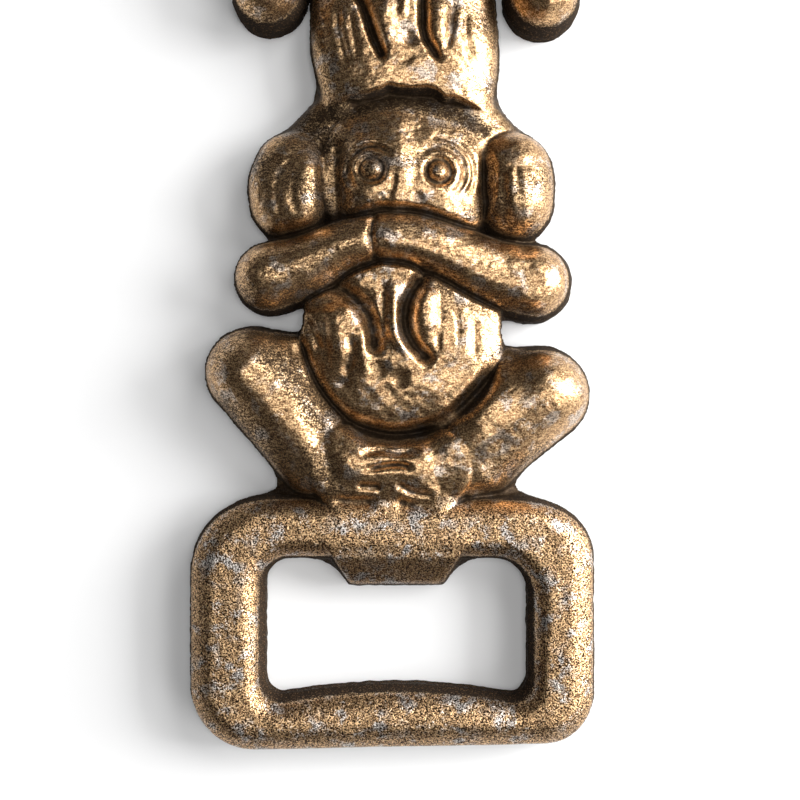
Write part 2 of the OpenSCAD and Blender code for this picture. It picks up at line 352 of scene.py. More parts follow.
class Monkey:
    """Carves one monkey, with places counted from its seat."""

    def __init__(self, relief, name):
        self.relief, self.name, self.seat = relief, name, SEATS[name]

    def up(self, points):
        """Places counted from the seat, on the back."""
        return [(p[0], p[1] + self.seat, *p[2:]) for p in points]

    def on_top(self, points):
        """Places that were judged against the outline, moved to where they are on the raised face."""
        return [(VIEW_CENTRE[0] + (p[0] - VIEW_CENTRE[0]) * RAISED,
                 VIEW_CENTRE[1] + (p[1] + self.seat - VIEW_CENTRE[1]) * RAISED, *p[2:]) for p in points]

    def dome(self, part, points, **how):
        self.relief.dome(f"{self.name}_{part}", self.up(points), **how)

    def press(self, part, points, level):
        self.relief.press(f"{self.name}_{part}", self.on_top(points), level)

    def swell(self, points, height):
        self.relief.swell(self.on_top(points), height)

    def stroke(self, points, width, depth, taper=0.25):
        self.relief.stroke(self.on_top(points), width, depth, taper)

    def bump(self, x, y, radius, height):
        self.relief.bump(*self.on_top([(x, y)])[0], radius, height)

    # painted shade and patina along a line, placed on the raised face
    def shade_and_patina(self, points, amount):
        self.relief.shade_and_patina(self.on_top(points), amount)

    def ring(self, x, y, radius, width, depth):
        self.relief.ring(*self.on_top([(x, y)])[0], radius, width, depth)


def seated_body(m):
    """Torso, folded legs and feet of the lowest monkey."""
    m.dome("left_leg", [(-16.4, 15.8, 5.7, 7.6), (-8, 14.2, 6.4, 7.4)], power=1.9)
    m.dome("left_leg", [(-18, 16, 5.8, 8.9), (-13.2, 10.6, 5.9, 8.1), (-8.8, 5.6, 6, 6.9)],
           crease=0, blend=2.5, power=1.75)
    m.dome("right_leg", [(18.2, 13.2, 5.9, 8.2), (10, 13.4, 6.4, 6.2)], power=1.9)
    m.dome("right_leg", [(19.1, 13.2, 6, 9.4), (14.2, 9.2, 6, 8.6), (10.2, 5.6, 6, 7.4)],
           crease=0, blend=2.5, power=1.75)
    m.dome("feet", [(-4.6, 3.9, 5.6, 6.6), (4.4, 3.7, 5.4, 6.7)], foot=4.4, crease=0, blend=3.5)
    m.swell([(-3.2, 4.4, 4.6), (3.2, 4.2, 4.6)], 1.1)
    m.dome("torso", [(1.2, 20.6, 12.7, 8.4), (1.3, 26, 11.8, 7.6)],
           foot=4.6, crease=2.6, power=1.7, blend=0.6)
    m.stroke([(-12.2, 19.6), (-11.4, 16.2), (-9.4, 13), (-6.6, 10.2), (-3.6, 8.5), (0.4, 7.8), (3.8, 8.5),
              (7.4, 10.4), (10.4, 12.9), (13, 16), (14.2, 18.8)], 0.9, 1.3, taper=0.2)
    m.stroke([(-5.6, 9.4), (-2.4, 7.9), (0.6, 7.3), (3.6, 7.9), (6.2, 9.3)], 1.1, 1.0)
    m.stroke([(-10.8, 19.2), (-13.6, 18.4)], 1.4, 0.8)
    m.stroke([(13.4, 17), (10.6, 12.8), (8.4, 10)], 1.3, 0.7)
    m.stroke([(14.2, 13.8), (11.4, 11.2), (9.6, 8.8)], 1.1, -0.45)
    m.swell([(-19.6, 15.4, 5.6), (-15.4, 9, 5.6)], 0.3)
    m.swell([(-10.6, 16.6, 4.6), (-8.6, 11, 4.6)], -0.3)
    m.swell([(12, 14.6, 5.4), (9, 9.8, 5.4)], 1.0)
    m.swell([(21.6, 9.6, 5), (16, 4.6, 5)], -0.4)


def perched_torso(m):
    """Torso of a monkey that sits on the head of the one below."""
    m.dome("torso", [(2.3, 15.6, 10.7, 7.5), (1.9, 19, 11.7, 7.9), (1.5, 23, 12, 7.9), (1.4, 30, 11.4, 7.5)],
           power=2.6)


def nape(m):
    """The low shelf between the shoulders that the next monkey's seat rests on."""
    m.press("head", [(-9.6, 44.6, 5.8), (-5.4, 45.8, 5.6), (1.5, 46.8, 5.5), (8.4, 45.2, 5.6),
                     (13, 42.6, 5.8)], 4.9)


def head(m, crown=0.0):
    """A ball of a head, fullest a little left of the middle. The crown lifts it."""
    m.dome("head", [(AXIS - 0.5, 40.2 + crown, HEAD_R - 0.3, 8.3),
                    (AXIS + 1.4, 40 + crown, HEAD_R - 0.2, 7.5)], foot=3.6, crease=1.2, power=2.1, blend=2.0)
    m.swell([(-3.0, 42.6, 5.4), (1.0, 43.3, 6.2), (5.4, 42.6, 6.4)], 0.8)
    m.swell([(-2.6, 37.6, 5.8), (2, 37, 6.4), (6, 37.2, 6.4)], 1.0)


def shoulders(m, web=True):
    """Round shoulders at the sides of the head, with a web up to the next monkey's seat if there is one."""
    if web:
        slope = {"foot": 1.6, "crease": 0, "blend": 2, "power": 1.4, "notch": 2.5}
        m.dome("left_shoulder", [(-12.4, 40.6, 5.2, 3.6), (-6.4, 47.2, 4.7, 4.6)], **slope)
        m.dome("right_shoulder", [(15, 40.6, 5.2, 4.4), (9.4, 47.2, 4.7, 5.0)], **slope)
        nape(m)
    m.dome("left_shoulder", [(-12.6, 41.5, 5.1, 6.6), (-12.9, 39.6, 5.45, 7.0), (-13, 37.6, 5.2, 7.2)],
           power=2, crease=0.5, blend=1)
    m.swell([(-10.4, 42, 3.8), (-10.3, 39, 4.2), (-10.5, 36.6, 4)], 1.3)
    m.swell([(11.6, 44, 2.8), (12, 40, 3), (12, 35.6, 2.8)], 1.3)
    m.dome("right_shoulder", [(15.2, 41.3, 5.2, 7.6), (15.3, 39.4, 5.4, 8.2), (15.5, 37.4, 5.1, 8.5)],
           power=1.8, crease=0.5, blend=1)


def shoulder_fur(m):
    """Shallow lines of fur that follow the shoulders round."""
    m.stroke([(-14.2, 43.6), (-15.1, 40.4), (-14.8, 37.4), (-13.4, 34.6)], 0.5, 0.15)
    m.stroke([(-11.8, 44.0), (-12.7, 41), (-12.7, 38), (-11.6, 35.2)], 0.5, 0.22)
    m.stroke([(-10.2, 41.4), (-10.6, 39.8), (-10.4, 37.4)], 0.4, 0.12)
    m.stroke([(14.2, 43.8), (14.3, 40), (14.7, 36.6), (15.6, 34)], 0.6, 0.4)
    m.stroke([(15.9, 43.0), (16.2, 40.2), (16.6, 37)], 0.4, 0.25)
    m.stroke([(15.2, 42.2), (15.3, 38.6)], 0.4, -0.2)


def chest_hair(m):
    """Chest hair of the lowest monkey: two deep hooked grooves, with locks between and beside them."""
    m.stroke([(-7.8, 25.4), (-7.0, 21.4), (-5.8, 16.4)], 2.3, -0.9)
    m.stroke([(-9.6, 27.2), (-7.0, 27.0), (-5.2, 26.0), (-3.8, 24.6), (-2.8, 22.6), (-2.3, 20.3),
              (-1.9, 17.6)], 1.0, 1.6, taper=0.15)
    m.stroke([(-5.3, 21.4), (-5.4, 18.3), (-6.1, 15.4)], 0.7, 0.7)
    m.stroke([(-3.9, 22.6), (-3.6, 19.4), (-3.6, 14.8)], 0.5, -0.35)
    m.stroke([(0, 29), (0.3, 24.5), (0.6, 20.8), (2.7, 17.4)], 0.7, -0.7)
    m.stroke([(-1.2, 28.4), (-1.1, 23.4), (-0.7, 19.6)], 0.4, 0.35)
    m.stroke([(5.0, 30), (3.5, 27.9), (2.1, 25.3), (1.7, 22.8), (2.3, 20.4), (3.9, 18.5), (5.7, 16.9)],
             0.85, 1.6, taper=0.15)
    m.stroke([(4.8, 27.6), (4.3, 23.9), (4.9, 20.4)], 1.5, -1.0)
    m.stroke([(5.9, 27.6), (6.3, 24), (6.0, 20.8), (5.6, 17.6)], 0.35, 0.35)
    m.stroke([(9.6, 25.6), (9.0, 21), (8, 16.5)], 1.8, -0.35)
    m.stroke([(10.4, 23.4), (10.7, 20.6), (10.6, 17.6)], 0.45, 0.35)
    m.stroke([(8.0, 24.8), (8.6, 21.4), (8.2, 18.4)], 0.4, 0.25)
    m.stroke([(-11.2, 23.2), (-9.9, 20.4), (-9.1, 18.4)], 0.5, 0.5)
    m.stroke([(-9.2, 24.4), (-8.6, 21.0), (-8.2, 17.4)], 0.5, 0.3)
    m.bump(-1.5, 16.3, 1.2, -0.7)
    m.bump(0.9, 15.1, 1.0, -0.7)
    m.bump(-0.5, 13.6, 0.9, -0.4)
    m.bump(-6.2, 14.6, 1.1, -0.4)
    m.bump(5.2, 13.4, 1.6, 0.35)


def toes(m):
    """Grooves between the toes, and where the feet meet the legs and the ring."""
    m.stroke([(-4.5, 5.5), (-1.6, 5.9), (0.9, 5.6), (3.8, 6.0)], 0.4, 0.8)
    m.stroke([(-4.1, 3.3), (-1.4, 3.9), (1.0, 4.1), (3.2, 3.4)], 0.38, 0.8)
    m.stroke([(-4.8, 1.4), (-1.2, 1.2)], 0.4, 0.6)
    m.stroke([(0.3, 2.0), (2.6, 0.5), (5.6, 0.1)], 0.4, 0.6)
    m.stroke([(-3.6, 7.2), (-1.0, 7.5), (2.4, 7.1)], 0.5, 0.3)
    m.stroke([(0, -1.1), (3, -1.5), (6.6, -1.9)], 0.7, 1.3)
    m.stroke([(-8, -0.6), (-4.6, -1.0), (-1.6, -0.8)], 0.7, 0.9)
    m.stroke([(-9.6, 9.4), (-8.7, 4.8), (-7.6, 0.4)], 1.2, 0.7)
    m.stroke([(10, 0.6), (13, 0.2), (16, -0.4)], 0.8, 0.8)
    m.stroke([(4.4, 7.4), (6.0, 5.2), (5.8, 2.6)], 0.9, 0.3)


def paint_shade_and_patina(m):
    """Painted shade and patina: painted shade on the sides turned away to the left, away from the light, and
    the dark ground left where the gold was rubbed on least, in the hollows.
    """
    m.shade_and_patina([(-8, 46.2, 3.8), (-3, 48.6, 4.2), (3, 49.4, 4.2), (11, 47, 3.6)], 0.42)
    m.shade_and_patina([(-12.6, 45.4, 3.6), (-9.6, 49.6, 3.2)], 0.7)
    m.shade_and_patina([(-2.9, 42.1, 1.7), (-2.6, 42.1, 1.7)], 0.8)
    m.shade_and_patina([(5.7, 41.9, 1.2), (5.9, 41.9, 1.2)], 0.6)
    m.shade_and_patina([(-16, 18.6, 3), (-11.8, 14.6, 3.4), (-9, 10, 3.4)], 0.85)
    m.shade_and_patina([(-9.4, 49.8, 2), (-4, 50.8, 2.1), (1.5, 51.3, 2.1), (7, 50.2, 2), (12, 47.8, 1.6)], 1.0)
    m.shade_and_patina([(12.6, 43, 1.8), (12.8, 36, 1.8)], 0.7)
    m.shade_and_patina([(13.4, 35.2, 2.2), (18, 34.6, 2.2)], 0.6)
    m.shade_and_patina([(-8.4, 54, 3.6), (-7.6, 60, 3.6)], 0.5)
    m.shade_and_patina([(-16, 28.4, 5.5), (-10, 30, 5), (-4, 32.4, 4)], 0.5)
    m.shade_and_patina([(-18, 16, 6), (-12, 12, 6)], 0.4)
    m.shade_and_patina([(-4, 20, 7), (0, 14, 7)], 0.25)
    m.shade_and_patina([(-6.6, 46, 2.8), (-6.8, 40, 3), (-6.2, 34.5, 2.8)], 0.7)
    m.shade_and_patina([(-16.6, 43, 3.6), (-17, 39, 3.6), (-15.6, 35.4, 3)], 0.15)
    m.shade_and_patina([(-18.6, 26, 3.6), (-13, 26, 3.4), (-7, 28.6, 3)], 0.6)
    m.shade_and_patina([(4, 28.6, 2.6), (10, 26, 3), (17, 23.6, 3)], 0.6)
    m.shade_and_patina([(-22, 18, 3.4), (-17.4, 21.4, 3.4), (-11.6, 21.4, 3.4)], 0.55)
    m.shade_and_patina([(-22, 12, 3), (-17, 7, 3.6), (-11, 4, 4.6), (-7.4, 1, 4.6)], 0.7)
    m.shade_and_patina([(12.6, 17.4, 3.2), (16.4, 19.2, 3)], 0.6)
    m.shade_and_patina([(20, 5.6, 2.6), (15, 3, 3.2), (9, -0.6, 2.4), (-2, -1.4, 2), (-8, -0.6, 2.4)], 0.6)
    m.shade_and_patina([(-10.6, 14, 2.4), (-5, 8.4, 2.4), (1, 7, 2.2), (7, 8.6, 2.4), (12, 12.6, 2.6)], 0.55)


def arc(x, y, radius, start, end):
    """Points along part of a circle, between two angles in degrees."""
    return [(x + radius * math.cos(math.radians(a)), y + radius * math.sin(math.radians(a)))
            for a in np.linspace(start, end, 7)]


def eye(m, x, y):
    """An eye like a small boss in a shallow dish."""
    m.bump(x, y, 2.6, 0.3)
    m.bump(x, y, 0.9, 0.15)
    m.ring(x, y, 1.45, 0.45, 0.85)


def face(m):
    """Eyes, brow and nose."""
    eye(m, -2.7, 42.1)
    eye(m, 6, 41.9)
    m.stroke(arc(-2.7, 41.9, 3.1, 20, 240), 0.45, 0.8, taper=0.2)
    m.stroke(arc(-2.7, 41.9, 3.9, 60, 240), 0.4, -0.35)
    m.stroke(arc(6.1, 41.9, 3.3, -75, 150), 0.42, 0.5, taper=0.2)
    m.stroke(arc(6.1, 41.9, 4.4, -60, 110), 0.36, 0.35, taper=0.2)
    m.stroke(arc(6.1, 41.9, 3.85, -60, 120), 0.3, -0.2, taper=0.2)
    m.stroke([(1.6, 43.4), (1.7, 40.4), (1.8, 37.6)], 1.3, -0.45, taper=0.45)
    m.stroke([(0.2, 41.8), (0.1, 39.8), (-0.8, 38.2)], 0.45, 0.35)
    m.stroke([(11.7, 46.6), (11.9, 42.2), (11.5, 37.6)], 0.42, 0.6)
    m.bump(-1.0, 37.6, 1.0, -0.5)
    m.bump(3.4, 38.2, 0.7, -0.25)


def side_grooves(m):
    """The groove between the head and each shoulder, deep on the left."""
    m.stroke([(-6.8, 47.5), (-7.2, 43), (-7.0, 38.5), (-6.6, 34)], 1.15, 1.6, taper=0.2)
    m.stroke([(11.9, 44.5), (12.2, 40), (12.1, 35)], 0.4, 0.6)


def speak_no_evil(relief):
    """The lowest monkey, cross-legged on the ring, with its forearms over its mouth."""
    m = Monkey(relief, "speak")
    seated_body(m)
    shoulders(m)
    head(m)
    chest_hair(m)
    toes(m)
    face(m)
    side_grooves(m)
    shoulder_fur(m)
    left = [(-15.4, 27.9, 4.7, 8.6), (-11.4, 29.1, 4.4, 8.6), (-8.5, 30.4, 4.1, 8.8), (-5.6, 31.7, 3.8, 9.2)]
    right = [(-2.1, 32.7, 3.7, 9.4), (-0.5, 32.8, 3.75, 9.4), (3, 32.4, 3.95, 9.2), (7.6, 30.7, 4.2, 8.7),
             (11.1, 29.1, 4.5, 8.2), (14, 28.1, 4.7, 8), (17.7, 27.4, 4.9, 7.9)]
    # Both forearms are one bar in shape, so it is laid whole before the right one takes its half
    m.dome("left_arm", left + right, power=2.0, crease=1.8)
    m.dome("right_arm", [(x, y, r, top + 0.1) for x, y, r, top in right[1:]], power=2.0, crease=0, blend=0.2)
    m.stroke([(-2.2, 36.8), (-2.7, 33.6), (-2.1, 30.2)], 0.45, 0.8, taper=0.12)
    m.swell([(-1, 31, 3), (4, 30.4, 3.2), (8, 28.8, 3.4), (12, 26.9, 3.6), (16, 25.4, 3.8)], 0.7)
    m.bump(17.4, 32.2, 0.8, -0.5)
    m.stroke([(-8.4, 34.9), (-4.6, 35.6), (-0.6, 36.4), (4, 36.1), (8.4, 34.6), (12.4, 32.8)], 0.45, -0.35)


def hear_no_evil(relief):
    """The middle monkey, with its paws over its ears."""
    m = Monkey(relief, "hear")
    perched_torso(m)
    shoulders(m)
    head(m)
    upper_chest(m)
    face(m)
    snout(m)
    shoulder_fur(m)
    m.dome("left_arm", [(-15.6, 27.7, 4.7, 8.8), (-14.5, 32.5, 4.2, 8.6), (-12, 38, 4.1, 8.9),
                        (-9.3, 42.4, 4.2, 9.5)])
    m.dome("right_arm", [(19, 27.3, 4.8, 8.9), (17.9, 32.5, 4.2, 8.7), (15, 38, 4.1, 9),
                         (12.3, 42.4, 4.2, 9.6)])
    for x in (-9.9, 12.9):
        for spread in (-1.3, 0, 1.3):
            knuckle = (x + spread, 41.8 - abs(spread) / 3)
            fingertip = (x + 1.35 * spread, 45.2 - abs(spread))
            m.stroke([knuckle, fingertip], 0.28, 0.4)
    m.stroke([(-16.2, 36), (-15.2, 30.5)], 0.4, 0.35)
    m.stroke([(19.4, 31.2), (18.4, 27)], 0.4, 0.35)


def see_no_evil(relief):
    """The top monkey, with its paws over its eyes."""
    m = Monkey(relief, "see")
    perched_torso(m)
    shoulders(m, web=False)
    head(m, crown=3.4)
    upper_chest(m)
    snout(m)
    shoulder_fur(m)
    side_grooves(m)
    m.dome("left_arm", [(-15.6, 27.7, 4.7, 8.8), (-13.6, 32.8, 4.2, 8.7), (-10, 37.8, 4, 9),
                        (-5.4, 41.4, 3.8, 9.4), (-2.2, 42.6, 3.4, 9.6)])
    m.dome("right_arm", [(19, 27.3, 4.8, 8.9), (16.8, 32.8, 4.2, 8.8), (12.8, 37.8, 4, 9.1),
                         (8.2, 41.4, 3.8, 9.5), (5, 42.6, 3.4, 9.7)])
    for side, x in ((-1, -4.4), (1, 7.2)):
        for rise in (-1.2, 0, 1.2):
            knuckle, fingertip = (x, 41.6 + rise), (x - side * 3.6, 42.8 + rise * 1.3)
            m.stroke([knuckle, fingertip], 0.28, 0.4)
    for x in np.linspace(-6, 6, 7):
        hair = [(AXIS + x, 47.2 + 0.1 * abs(x)), (AXIS + 1.2 * x, 51.4 - 0.06 * x * x)]
        m.stroke(hair, 0.35, 0.35)


def upper_chest(m):
    """Chest hair of a perched monkey: a pointed middle lock and one on each side."""
    m.stroke([(-5.6, 30.5), (-3.9, 27.8), (-2.4, 23.6), (-0.9, 20.1)], 0.55, 1.5, taper=0.15)
    m.stroke([(-1.2, 29), (-0.8, 24.6), (-0.2, 21.2)], 1.2, -0.8)
    m.stroke([(3.9, 30.5), (4.0, 26.8), (4.3, 23.4), (6.6, 19.8)], 0.55, 1.3, taper=0.15)
    m.stroke([(6.2, 29), (6, 25.4), (6.3, 21.8)], 1.1, -0.8)
    m.stroke([(8.0, 29), (7.7, 25), (7.0, 21.2)], 0.45, 0.6)
    m.bump(2.4, 23.2, 0.9, -0.8)
    m.bump(1.9, 20.4, 0.8, -0.4)
    m.stroke([(1.6, 29), (1.4, 25.4)], 0.4, -0.4)
    m.stroke([(-7.4, 28), (-6.7, 23.5), (-5.6, 19.4)], 0.45, 0.5)
    m.stroke([(-5.6, 27), (-4.9, 23), (-4.2, 20.4)], 0.35, 0.35)
    m.stroke([(9.6, 27.5), (9.6, 23.6), (10.6, 20)], 0.5, 0.4)
    m.stroke([(-9.4, 26), (-8.8, 22.2)], 0.45, 0.35)


def snout(m):
    """Muzzle with nostrils and a closed mouth."""
    m.dome("muzzle", [(AXIS, 35.8, 5.6, 9.4), (AXIS, 38.4, 4.2, 9.2)],
           foot=5, crease=0.5, blend=1, edge=False)
    m.stroke([(-2.6, 36), (-0.8, 34.7), (AXIS, 34.4), (3.6, 34.7), (5.4, 36)], 0.4, 0.8)
    m.bump(AXIS - 1, 38.6, 0.5, -0.6)
    m.bump(AXIS + 1, 38.6, 0.5, -0.6)
    m.bump(AXIS, 39.4, 1.6, 0.4)


# ---------------------------------------------------------------------------
# Carve, then roughen as sand casting does
# ---------------------------------------------------------------------------

relief = Relief()
for carve in (see_no_evil, hear_no_evil, speak_no_evil):
    carve(relief)
# painted shade on the sides away from the light, with the patina in the hollows
for name in SEATS:
    paint_shade_and_patina(Monkey(relief, name))
opener_ring(relief)

relief.outline += fractal(X, Y, 1.6, 3, SEED + 50) * 0.14 + fractal(X, Y, 0.7, 1, SEED + 55) * 0.05
inside = relief.outline < 0
is_ring = smoothstep(-1.5, 1.5, SEATS["speak"] - 0.5 - Y)
rounded_skirt = SKIRT + 1.6 * (1 - np.exp(np.minimum(relief.outline, 0) / 0.9))
height = np.maximum(relief.height, rounded_skirt)
height = np.where(inside, height, np.minimum(height, SKIRT))
height = height * 0.25 + blurred(height, 0.2) * 0.75    # softens the sharpest edges

# The legs of the lowest monkey are smoother than the rest
on_legs = smoothstep(SEATS["speak"] + 22, SEATS["speak"] + 18, Y) * (1 - is_ring)
on_legs = on_legs * smoothstep(4, 8, np.abs(X - AXIS))
waves = fractal(X, Y, 6.0, 2, SEED) * 0.16
lumps = fractal(X, Y, 2.0, 3, SEED + 10) * (0.15 - 0.07 * is_ring - 0.07 * on_legs)
sand = fractal(X, Y, 0.55, 2, SEED + 30) * (0.035 + 0.03 * is_ring)
warp = 1.2 * noise(X, Y, 2.6, SEED + 61), 1.2 * noise(X, Y, 2.6, SEED + 62)
dents = fractal(X * 0.8 - Y * 0.6 + warp[0], Y * 0.8 + X * 0.6 + warp[1], 1.15, 2, SEED + 60)
dents *= 0.06 * (1 - is_ring) * (1 - 0.8 * on_legs)
height = np.maximum(height + waves + lumps + sand + dents, SKIRT * 0.7)

# What the paint goes by: how steep a place is, and how far it lies below its surroundings
slope_y, slope_x = np.gradient(height, STEP)
steep = np.hypot(slope_x, slope_y)
wide_view = np.where(inside, height, SKIRT)
hollow_and_lip_shade = np.clip((blurred(wide_view, 1.3) - height) / 1.3, -1, 1)
beside_lip = np.abs(X - LIP_X) - LIP_ROOT_W / 2
on_lip = (Y > LIP_TIP - 1) * smoothstep(LIP_ROOT + 2.6, LIP_ROOT + 0.4, Y) * smoothstep(1.2, 0, beside_lip)
hollow_and_lip_shade = np.maximum(hollow_and_lip_shade, 0.4 * on_lip)    # painted shade on the sloping lip, turned down away from the light, and more of the dark ground that it keeps
crease = np.clip((blurred(wide_view, 0.5) - height) / 0.35, -1, 1)
# painted shade and patina on the figures; none on the ring
patina_and_painted_shade = relief.patina_and_painted_shade * (1 - is_ring)

# ---------------------------------------------------------------------------
# Divide the relief between the CAD nodes
# ---------------------------------------------------------------------------

node_names = relief.nodes
cell_outline = (relief.outline[:-1, :-1] + relief.outline[1:, :-1] + relief.outline[:-1, 1:]
                + relief.outline[1:, 1:]) / 4
cell_label = np.where(cell_outline < 0, relief.owner[:-1, :-1], -1)
bare = (cell_outline < 0) & (cell_label < 0)      # slivers of outline that no form covers


def main_region(mask):
    """The largest connected part of a mask of cells."""
    left = mask.copy()
    best = np.zeros_like(mask)
    while left.any():
        seed = np.zeros_like(mask)
        row, column = np.argwhere(left)[0]
        seed[row, column] = True
        frontier = [(row, column)]
        left[row, column] = False
        members = [(row, column)]
        while frontier:
            r, c = frontier.pop()
            for rr, cc in ((r + 1, c), (r - 1, c), (r, c + 1), (r, c - 1)):
                if 0 <= rr < mask.shape[0] and 0 <= cc < mask.shape[1] and left[rr, cc]:
                    left[rr, cc] = False
                    frontier.append((rr, cc))
                    members.append((rr, cc))
        if len(members) > best.sum():
            best[:] = False
            rows, columns = zip(*members)
            best[list(rows), list(columns)] = True
    return best


def settle(cells):
    """Gives every stray bit of a region to its neighbours, so that each node is one piece."""
    kept = np.full_like(cells, -1)
    for index in range(len(node_names)):
        if (cells == index).any():
            kept[main_region(cells == index)] = index
    open_cells = ((cells >= 0) | bare) & (kept < 0)
    while open_cells.any():
        before = open_cells.sum()
        for rows, columns in ((1, 0), (-1, 0), (0, 1), (0, -1)):
            shifted = np.roll(kept, (rows, columns), axis=(0, 1))
            take = open_cells & (shifted >= 0)
            kept[take] = shifted[take]
            open_cells &= kept < 0
        if open_cells.sum() == before:
            break
    return kept


cell_label = settle(cell_label)

# ---------------------------------------------------------------------------
# Mesh: move the grid's edge points onto the outline, then close each piece
# ---------------------------------------------------------------------------

out_y, out_x = np.gradient(relief.outline, STEP)
out_length = np.hypot(out_x, out_y) + 1e-9
cells_around = np.zeros(X.shape, int)
for rows in (slice(0, -1), slice(1, None)):
    for columns in (slice(0, -1), slice(1, None)):
        cells_around[rows, columns] += cell_label >= 0
rim = (cells_around > 0) & (cells_around < 4)
shift = np.where(rim, np.clip(relief.outline, -STEP, STEP), 0)
PX = X - shift * out_x / out_length
PY = Y - shift * out_y / out_length
normals = np.stack([-slope_x, -slope_y, np.ones_like(X)], axis=-1)
normals /= np.linalg.norm(normals, axis=-1, keepdims=True)


def build_piece(index):
    """One closed mesh: relief on top, plain back, upright sides."""
    cells = cell_label == index
    rows, columns = np.nonzero(cells)
    low_r, high_r, low_c, high_c = rows.min(), rows.max(), columns.min(), columns.max()
    width = X.shape[1]

    def point(r, c):
        return r * width + c

    top = np.stack([point(rows, columns), point(rows, columns + 1), point(rows + 1, columns + 1),
                    point(rows + 1, columns)], axis=1)
    back = []
    for r in range(low_r, high_r + 1, BLOCK):
        for c in range(low_c, high_c + 1, BLOCK):
            block = cells[r:r + BLOCK, c:c + BLOCK]
            if block.shape == (BLOCK, BLOCK) and block.all():
                back.append([point(r + k, c) for k in range(BLOCK)]
                            + [point(r + BLOCK, c + k) for k in range(BLOCK)]
                            + [point(r + BLOCK - k, c + BLOCK) for k in range(BLOCK)]
                            + [point(r, c + BLOCK - k) for k in range(BLOCK)])
            else:
                for dr, dc in np.argwhere(block):
                    rr, cc = r + dr, c + dc
                    back.append([point(rr, cc), point(rr + 1, cc), point(rr + 1, cc + 1), point(rr, cc + 1)])
    sides = []
    padded = np.pad(cells, 1)
    for dr, dc, a, b in ((-1, 0, (0, 0), (0, 1)), (1, 0, (1, 1), (1, 0)), (0, -1, (1, 0), (0, 0)),
                         (0, 1, (0, 1), (1, 1))):
        border = cells & ~padded[1 + dr:padded.shape[0] - 1 + dr, 1 + dc:padded.shape[1] - 1 + dc]
        r, c = np.nonzero(border)
        sides.append(np.stack([point(r + a[0], c + a[1]), point(r + b[0], c + b[1])], axis=1))
    sides = np.vstack(sides)

    top_points = np.unique(top)
    back_points = np.unique(np.concatenate([np.array(f) for f in back]))
    top_at = np.full(X.size, -1)
    back_at = np.full(X.size, -1)
    top_at[top_points] = np.arange(len(top_points))
    back_at[back_points] = len(top_points) + np.arange(len(back_points))
    x, y, z = PX.ravel(), PY.ravel(), height.ravel()
    places = np.vstack([np.stack([x[top_points], y[top_points], z[top_points]], axis=1),
                        np.stack([x[back_points], y[back_points], np.zeros(len(back_points))], axis=1)]) * MM
    faces = [list(f) for f in top_at[top]]
    faces += [[back_at[i] for i in f] for f in back]
    faces += [[top_at[b], top_at[a], back_at[a], back_at[b]] for a, b in sides]

    mesh = bpy.data.meshes.new(node_names[index])
    mesh.from_pydata(places.tolist(), [], faces)
    mesh.update()
    # the painted shade and patina, and the lip's painted shade, go with the mesh like the other paint guides
    for name, field in (("hollow_and_lip_shade", hollow_and_lip_shade), ("crease", crease), ("sand", is_ring), ("steep", steep),
                        ("patina_and_painted_shade", patina_and_painted_shade)):
        layer = mesh.attributes.new(name, "FLOAT", "POINT")
        values = np.zeros(len(places))
        values[:len(top_points)] = field.ravel()[top_points]
        if name in ("sand", "patina_and_painted_shade"):
            values[len(top_points):] = field.ravel()[back_points]
        if name == "steep":
            values[len(top_points):] = BACK_STEEPNESS
        layer.data.foreach_set("value", values)
    mesh.polygons.foreach_set("use_smooth", np.ones(len(faces), bool))
    sizes = np.empty(len(faces), int)
    mesh.polygons.foreach_get("loop_total", sizes)
    flat = np.empty(len(faces) * 3)
    mesh.polygons.foreach_get("normal", flat)
    corner_normals = np.repeat(flat.reshape(-1, 3), sizes, axis=0)
    corner_normals[:top.size] = normals.reshape(-1, 3)[top.ravel()]
    mesh.normals_split_custom_set(corner_normals.tolist())
    mesh.materials.append(bronze)
    piece = bpy.data.objects.new(f"{node_names[index]}_cast", mesh)
    bpy.context.collection.objects.link(piece)
    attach(piece, "root")
    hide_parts(node_names[index])


# ---------------------------------------------------------------------------
# Antique bronze paint: gold rubbed over a near-black ground, thin enough in places to show grey iron
# ---------------------------------------------------------------------------


class Nodes:
    """A short way to write a node tree."""

    def __init__(self, tree):
        self.tree = tree
        tree.nodes.clear()

    def add(self, kind, settings=None, **inputs):
        node = self.tree.nodes.new(kind)
        for name, value in (settings or {}).items():
            setattr(node, name, value)
        for name, value in inputs.items():
            self.plug(node, name, value)
        return node

    def plug(self, node, name, value):
        """Links or sets an input, by its name or, as in i0, by its number."""
        socket = node.inputs[int(name[1:])] if name[0] == "i" and name[1:].isdigit() else node.inputs[name]
        if isinstance(value, bpy.types.NodeSocket):
            self.tree.links.new(value, socket)
        else:
            socket.default_value = value

    def math(self, operation, a, b=0.0, c=0.0):
        return self.add("ShaderNodeMath", {"operation": operation}, i0=a, i1=b, i2=c).outputs[0]

    def remap(self, value, low, high, out_low=0.0, out_high=1.0):
        node = self.add("ShaderNodeMapRange", {"interpolation_type": "SMOOTHSTEP"})
        for name, v in (("Value", value), ("From Min", low), ("From Max", high), ("To Min", out_low),
                        ("To Max", out_high)):
            self.plug(node, name, v)
        return node.outputs[0]

    def mix(self, factor, a, b):
        node = self.add("ShaderNodeMix", {"data_type": "RGBA"})
        self.plug(node, "i0", factor)
        self.plug(node, "i6", a)
        self.plug(node, "i7", b)
        return node.outputs[2]

    def noise(self, place, scale, detail=2.0, roughness=0.5):
        node = self.add("ShaderNodeTexNoise")
        for name, v in (("Vector", place), ("Scale", scale), ("Detail", detail), ("Roughness", roughness)):
            self.plug(node, name, v)
        return node.outputs["Fac"]

    def attribute(self, name):
        return self.add("ShaderNodeAttribute", {"attribute_name": name}).outputs["Fac"]


